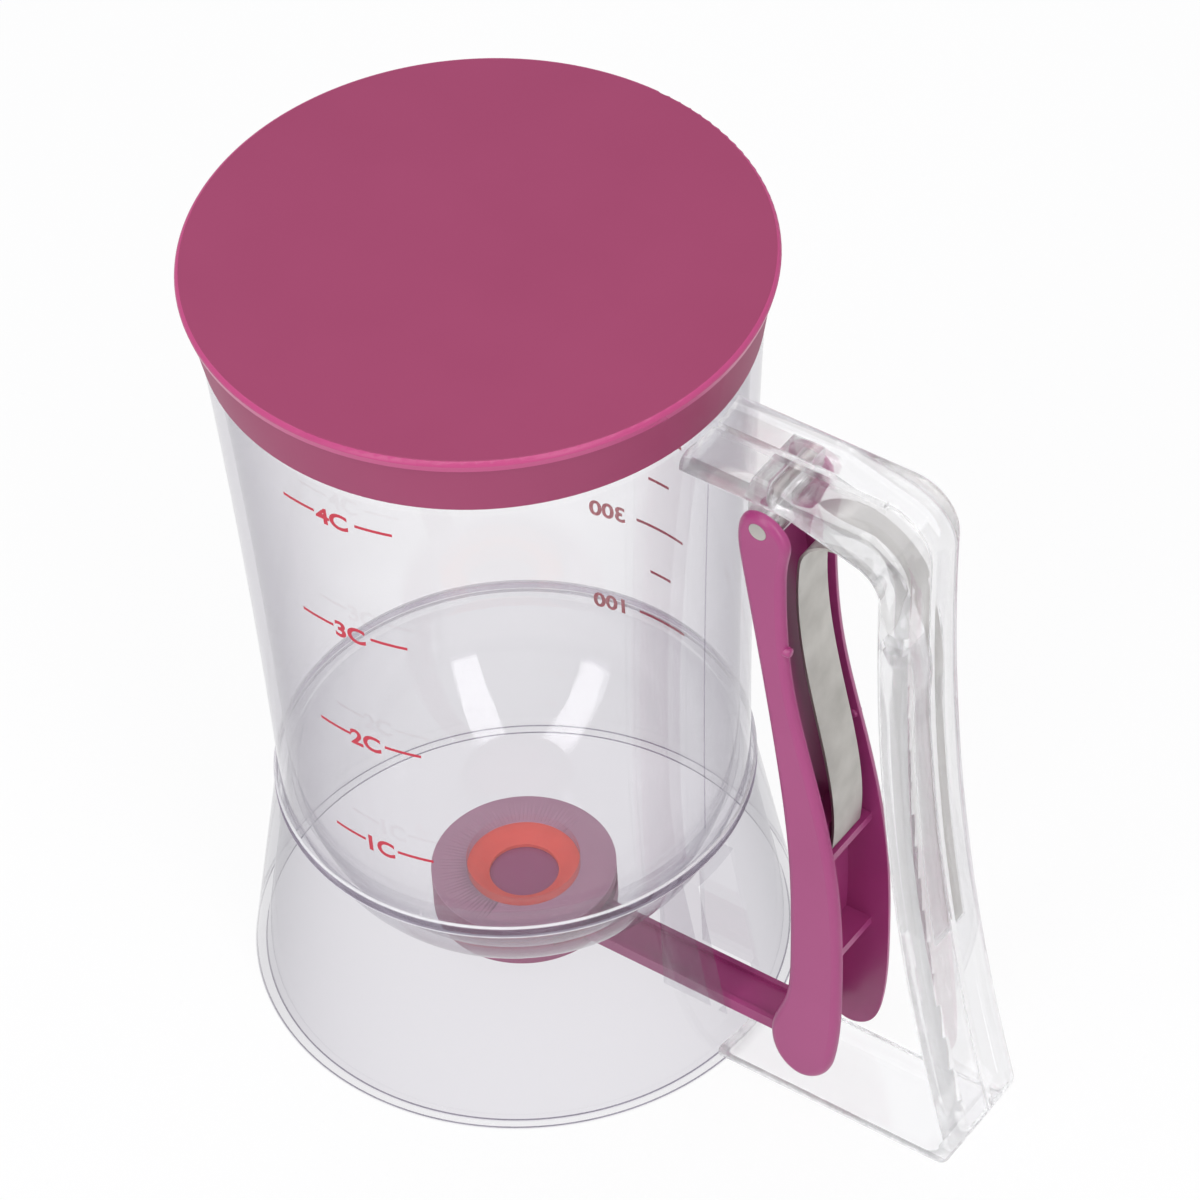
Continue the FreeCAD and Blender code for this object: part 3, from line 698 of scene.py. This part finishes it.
def narrowed_leaf():
    grid = bmesh.new()
    grid.from_mesh(nodes["leaf_spring"].data)
    bmesh.ops.remove_doubles(grid, verts=grid.verts, dist=MERGE_DISTANCE)
    for vert in grid.verts:
        run = (vert.co.x - NARROW_FROM_X) / (NARROW_TO_X - NARROW_FROM_X)
        share = 1.0 - (1.0 - NARROW_SHARE) * min(max(run, 0.0), 1.0)
        vert.co.y = LEAF_HALF_W - (LEAF_HALF_W - vert.co.y) * share
    bmesh.ops.recalc_face_normals(grid, faces=grid.faces)
    mesh = bpy.data.meshes.new("leaf_strip")
    grid.to_mesh(mesh)
    grid.free()
    for face in mesh.polygons:
        face.use_smooth = True
    mesh.set_sharp_from_angle(angle=COPY_CREASE)
    mesh.materials.append(steel_finish)
    piece = bpy.data.objects.new("leaf_strip", mesh)
    bpy.context.scene.collection.objects.link(piece)
    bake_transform(piece)
    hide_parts("leaf_spring")
    return piece


leaf = narrowed_leaf()
print("leaf strip has", len(leaf.data.vertices), "corners")

# %% [markdown]
# ## Small pegs on the trigger
#
# The trigger's moulding has two little round pegs: one near the back edge of
# its near cheek, and one inside the far cheek, level with the leaf spring.
# Each is a cone with a bevelled end.
# %% Add the two pegs
PEG_R = 0.0012
PEG_NEAR = (0.0777, -0.0092, 0.1336)
PEG_FAR = (0.0811, 0.0092, 0.1027)
PEG_LENGTH = 0.0024
PEG_SIDES = 24
PEG_TAPER = 0.85
PEG_BEVEL = 0.35
PEG_BEVEL_STEPS = 3
RIM_TURN = 0.8


def peg(name, place, turn):
    grid = bmesh.new()
    bmesh.ops.create_cone(
        grid,
        cap_ends=True,
        segments=PEG_SIDES,
        radius1=PEG_R,
        radius2=PEG_R * PEG_TAPER,
        depth=PEG_LENGTH,
    )
    rims = [e for e in grid.edges if e.calc_face_angle(0) > RIM_TURN]
    bmesh.ops.bevel(
        grid,
        geom=rims,
        offset=PEG_R * PEG_BEVEL,
        segments=PEG_BEVEL_STEPS,
        profile=0.5,
        affect="EDGES",
        material=-1,
    )
    bmesh.ops.rotate(grid, matrix=turn, verts=grid.verts)
    bmesh.ops.translate(grid, verts=grid.verts, vec=place)
    for face in grid.faces:
        face.smooth = True
    mesh = bpy.data.meshes.new(name)
    grid.to_mesh(mesh)
    grid.free()
    mesh.materials.append(trigger_finish)
    piece = bpy.data.objects.new(name, mesh)
    bpy.context.scene.collection.objects.link(piece)
    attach(piece, "trigger")
    return piece


peg_near = peg("trigger_peg_near", PEG_NEAR, Matrix.Rotation(math.radians(90), 3, "Y"))
peg_far = peg("trigger_peg_far", PEG_FAR, Matrix.Rotation(math.radians(90), 3, "X"))
print("pegs:", peg_near.name, peg_far.name)

# %% [markdown]
# ## The printed scale
#
# The cup scale and the millilitre scale are ink on the outside of a tapering
# wall. Flat text is made a mesh, cut into narrow strips so that it can curve,
# and each of its corners is then dropped onto the wall along a ray towards the
# jar's axis. That way the ink sits on the wall at any height.
# %% Wrap flat print on the wall
INK_T = 0.00005
STRIP = 0.0012
FLANGE_LOW = 0.0488
FLANGE_TOP = 0.0545
WALL_NODES = ("jar_wall", "hopper_bowl", "base_skirt")
OUTSIDE_R = 0.1
CAPITAL_SHARE = 0.7


def wall_tree():
    grid = bmesh.new()
    for name in WALL_NODES:
        grid.from_mesh(nodes[name].data)
    tree = BVHTree.FromBMesh(grid)
    grid.free()
    return tree


outer_wall = wall_tree()


def wall_radius(azimuth, height):
    out = Vector((math.cos(azimuth), math.sin(azimuth), 0))
    hit = outer_wall.ray_cast(out * OUTSIDE_R + Vector((0, 0, height)), -out)[0]
    return math.hypot(hit.x, hit.y)


def wrap(mesh, azimuth, height):
    """Lays a flat mesh on the wall. Its X runs round the jar, its Y up.

    Where the flange stands out, the print keeps to the jar's own wall.
    """
    grid = bmesh.new()
    grid.from_mesh(mesh)
    low = min(v.co.x for v in grid.verts)
    high = max(v.co.x for v in grid.verts)
    cut = low + STRIP
    while cut < high:
        everything = grid.verts[:] + grid.edges[:] + grid.faces[:]
        bmesh.ops.bisect_plane(
            grid, geom=everything, plane_co=(cut, 0, 0), plane_no=(1, 0, 0)
        )
        cut += STRIP
    radius = wall_radius(azimuth, height)
    for vert in grid.verts:
        turn = azimuth + vert.co.x / radius
        z = height + vert.co.y
        at = z if z < FLANGE_LOW else max(z, FLANGE_TOP)
        reach = wall_radius(turn, at) + INK_T
        vert.co = (reach * math.cos(turn), reach * math.sin(turn), z)
    grid.to_mesh(mesh)
    grid.free()


def flat_text(text, height, bold):
    curve = bpy.data.curves.new(text, "FONT")
    curve.body = text
    curve.size = height / CAPITAL_SHARE
    curve.offset = bold
    curve.align_x = "CENTER"
    curve.align_y = "CENTER"
    carrier = bpy.data.objects.new(text, curve)
    bpy.context.scene.collection.objects.link(carrier)
    bpy.context.view_layer.update()
    graph = bpy.context.evaluated_depsgraph_get()
    mesh = bpy.data.meshes.new_from_object(carrier.evaluated_get(graph))
    bpy.data.objects.remove(carrier)
    return mesh


def flat_bar(width, height):
    grid = bmesh.new()
    bmesh.ops.create_grid(grid, x_segments=1, y_segments=1, size=0.5)
    bmesh.ops.scale(grid, vec=(width, height, 1), verts=grid.verts)
    mesh = bpy.data.meshes.new("bar")
    grid.to_mesh(mesh)
    grid.free()
    return mesh


print("wall radius at 100 mm up:", round(wall_radius(0.0, 0.100) * 1000, 2), "mm")

# %% [markdown]
# ## Cups in front, millilitres behind
#
# The cup marks stand on the side that faces the cook: a number between two
# lines, at each cup. The millilitre marks are on the far side, a long line and
# a number at each odd hundred and a short line at each even one.
# %% Print both scales
CUP_HEIGHTS = {1: 0.0716, 2: 0.1039, 3: 0.1364, 4: 0.1698}
CUP_TEXT_DROP = 0.0007
CUP_TEXT_AT = -86.8
CUP_LINE_LEFT = -95.2
CUP_LINE_RIGHT = -77.3
CUP_LINE_W = 0.0080
CUP_TEXT_H = 0.0043
CUP_BOLD = 0.00020
LINE_H = 0.0008
ML_FIRST = 0.0518
ML_STEP = 0.0135
ML_TEXT_DROP = 0.0006
ML_LONG_AT = 85.9
ML_LONG_W = 0.0126
ML_SHORT_AT = 86.2
ML_SHORT_W = 0.0055
ML_TEXT_AT = 100.9
ML_TEXT_H = 0.0040
ML_BOLD = 0.00017
ML_MARKS = 8


def print_on(marks, mesh, degrees, height):
    wrap(mesh, math.radians(degrees), height)
    marks.from_mesh(mesh)
    bpy.data.meshes.remove(mesh)


def print_cups(marks):
    for cups, height in CUP_HEIGHTS.items():
        text = flat_text(str(cups) + "C", CUP_TEXT_H, CUP_BOLD)
        print_on(marks, text, CUP_TEXT_AT, height - CUP_TEXT_DROP)
        for side in (CUP_LINE_LEFT, CUP_LINE_RIGHT):
            print_on(marks, flat_bar(CUP_LINE_W, LINE_H), side, height)


def print_millilitres(marks):
    for hundreds in range(1, ML_MARKS + 1):
        height = ML_FIRST + (hundreds - 1) * ML_STEP
        if hundreds % 2:
            print_on(marks, flat_bar(ML_LONG_W, LINE_H), ML_LONG_AT, height)
            text = flat_text(str(hundreds * 100), ML_TEXT_H, ML_BOLD)
            print_on(marks, text, ML_TEXT_AT, height - ML_TEXT_DROP)
        else:
            print_on(marks, flat_bar(ML_SHORT_W, LINE_H), ML_SHORT_AT, height)


def printed_scale(name, printer):
    marks = bmesh.new()
    printer(marks)
    bmesh.ops.remove_doubles(marks, verts=marks.verts, dist=MERGE_DISTANCE)
    mesh = bpy.data.meshes.new(name)
    marks.to_mesh(mesh)
    marks.free()
    mesh.materials.append(ink_finish)
    piece = bpy.data.objects.new(name, mesh)
    bpy.context.scene.collection.objects.link(piece)
    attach(piece, "housing")
    return piece


cup_scale = printed_scale("cup_scale", print_cups)
ml_scale = printed_scale("millilitre_scale", print_millilitres)
print("ink faces:", len(cup_scale.data.polygons), len(ml_scale.data.polygons))

# %% [markdown]
# ## The mould line
#
# A fine line runs down the jar's wall where the two halves of its mould met.
# It is a strip a little under half a millimetre wide, laid on the wall as the
# ink is.
# %% Lay the mould line
SEAM_AT = -2.0
SEAM_LOW = 0.060
SEAM_HIGH = 0.168
SEAM_W = 0.00045
SEAM_STEPS = 24


def mould_line():
    grid = bmesh.new()
    height = SEAM_HIGH - SEAM_LOW
    bmesh.ops.create_grid(grid, x_segments=1, y_segments=SEAM_STEPS, size=0.5)
    bmesh.ops.scale(grid, vec=(SEAM_W, height, 1), verts=grid.verts)
    mesh = bpy.data.meshes.new("mould_line")
    grid.to_mesh(mesh)
    grid.free()
    wrap(mesh, math.radians(SEAM_AT), (SEAM_LOW + SEAM_HIGH) / 2)
    mesh.materials.append(band)
    piece = bpy.data.objects.new("mould_line", mesh)
    bpy.context.scene.collection.objects.link(piece)
    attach(piece, "housing")
    return piece


seam = mould_line()
print("mould line faces:", len(seam.data.polygons))

# %% [markdown]
# ## Floor and light
#
# The object stands on a wide pale floor. To the camera, to reflections and
# through the clear plastic the floor is white, but it still takes a share of
# real light, so the soft shadow stays. Inside the base's ring the jar shades
# the floor from all sides, and there a slightly greyer disc is painted on it.
# %% Lay the floor
FLOOR_SIDE = 12.0
FLOOR_WHITE_SHARE = 0.90
BASE_INSIDE_R = 0.0570
SHELTERED = (0.885, 0.875, 0.90, 1)
FLOOR_PAINT = (0.86, 0.86, 0.87, 1)
FLOOR_DROP = 0.0002
WHITE = (1, 1, 1, 1)


def pale_floor():
    grid = bmesh.new()
    bmesh.ops.create_grid(grid, x_segments=4, y_segments=4, size=FLOOR_SIDE / 2)
    mesh = bpy.data.meshes.new("floor")
    grid.to_mesh(mesh)
    grid.free()
    floor = bpy.data.objects.new("floor", mesh)
    bpy.context.scene.collection.objects.link(floor)
    floor.location.z = -FLOOR_DROP
    made, start = new_material("floor_white")
    seen = start.node("ShaderNodeLightPath", out="Is Camera Ray")
    mirrored = start.node("ShaderNodeLightPath", out="Is Glossy Ray")
    through = start.node("ShaderNodeLightPath", out="Is Transmission Ray")
    share = FLOOR_WHITE_SHARE * (seen + mirrored + through)
    paint = start.node("ShaderNodeBsdfDiffuse", {"Color": FLOOR_PAINT})
    where = start.node("ShaderNodeTexCoord", out="Object")
    radius = start.node(
        "ShaderNodeVectorMath", {0: where}, out="Value", operation="LENGTH"
    )
    inside = start.maths("LESS_THAN", radius, BASE_INSIDE_R)
    white = mix_colour(start, inside, WHITE, SHELTERED)
    glow = start.node("ShaderNodeEmission", {"Color": white, "Strength": 1.0})
    output(start, start.node("ShaderNodeMixShader", {0: share, 1: paint, 2: glow}))
    mesh.materials.append(made)
    return floor


floor = pale_floor()
print("floor", FLOOR_SIDE, "m wide")

# %% [markdown]
# ## Soft light
#
# Two tall soft lamps stand one on each side of the camera. They draw the two
# window reflections in the funnel. A third lamp above and a pale sky fill in.
# The sky is white where the camera sees it, and dimmer where it only lights.
# %% Light it softly
SKY = (0.97, 0.97, 1.0, 1)
SKY_STRENGTH = 0.55
SKY_MIRRORED = 0.15
SKY_THROUGH = 0.5
JAR_MIDDLE = (0.01, 0, 0.1)
WINDOW_W = 0.36
WINDOW_H = 2.05
WINDOW_WATTS = 8.6
WINDOW_RIGHT = (0.83, -0.47, 1.00)
WINDOW_LEFT = (-0.09, -0.95, 1.00)
FILL_AT = (-0.5, 0.3, 1.6)
FILL_SIDE = 0.8
FILL_WATTS = 3.4


def soft_sky():
    world = bpy.data.worlds.new("soft_sky")
    bpy.context.scene.world = world
    world.use_nodes = True
    world.node_tree.nodes.clear()
    start = Wire(world.node_tree)
    seen = start.node("ShaderNodeLightPath", out="Is Camera Ray")
    mirrored = start.node("ShaderNodeLightPath", out="Is Glossy Ray")
    through = start.node("ShaderNodeLightPath", out="Is Transmission Ray")
    white = start.node("ShaderNodeBackground", {"Color": WHITE, "Strength": 1.0})
    dim = start.node("ShaderNodeBackground", {"Color": SKY, "Strength": SKY_STRENGTH})
    share = seen + SKY_MIRRORED * mirrored + SKY_THROUGH * through
    shader = start.node("ShaderNodeMixShader", {0: share, 1: dim, 2: white})
    output(start, shader, "ShaderNodeOutputWorld")


def soft_lamp(name, place, width, height, watts):
    """A rectangle of light that faces the middle of the jar."""
    light = bpy.data.lights.new(name, "AREA")
    light.shape = "RECTANGLE"
    light.size = width
    light.size_y = height
    light.energy = watts
    lamp = bpy.data.objects.new(name, light)
    lamp.location = place
    lamp.rotation_mode = "QUATERNION"
    way = Vector(JAR_MIDDLE) - Vector(place)
    lamp.rotation_quaternion = way.to_track_quat("-Z", "Y")
    bpy.context.scene.collection.objects.link(lamp)


soft_sky()
soft_lamp("right_window", WINDOW_RIGHT, WINDOW_W, WINDOW_H, WINDOW_WATTS)
soft_lamp("left_window", WINDOW_LEFT, WINDOW_W, WINDOW_H, WINDOW_WATTS)
soft_lamp("top_fill", FILL_AT, FILL_SIDE, FILL_SIDE, FILL_WATTS)
print("lamps: two windows and a fill")

# %% [markdown]
# ## Colour management and light bounces
#
# The Standard view shows colours as they are written. A ray that crosses the
# jar and the handle meets many clear walls, so it is allowed many steps.
# %% Finish
MANY_WALLS = 40
MANY_BENDS = 20
bpy.context.scene.view_settings.view_transform = "Standard"
bpy.context.scene.cycles.transparent_max_bounces = MANY_WALLS
bpy.context.scene.cycles.max_bounces = MANY_BENDS
bpy.context.scene.cycles.transmission_bounces = MANY_BENDS
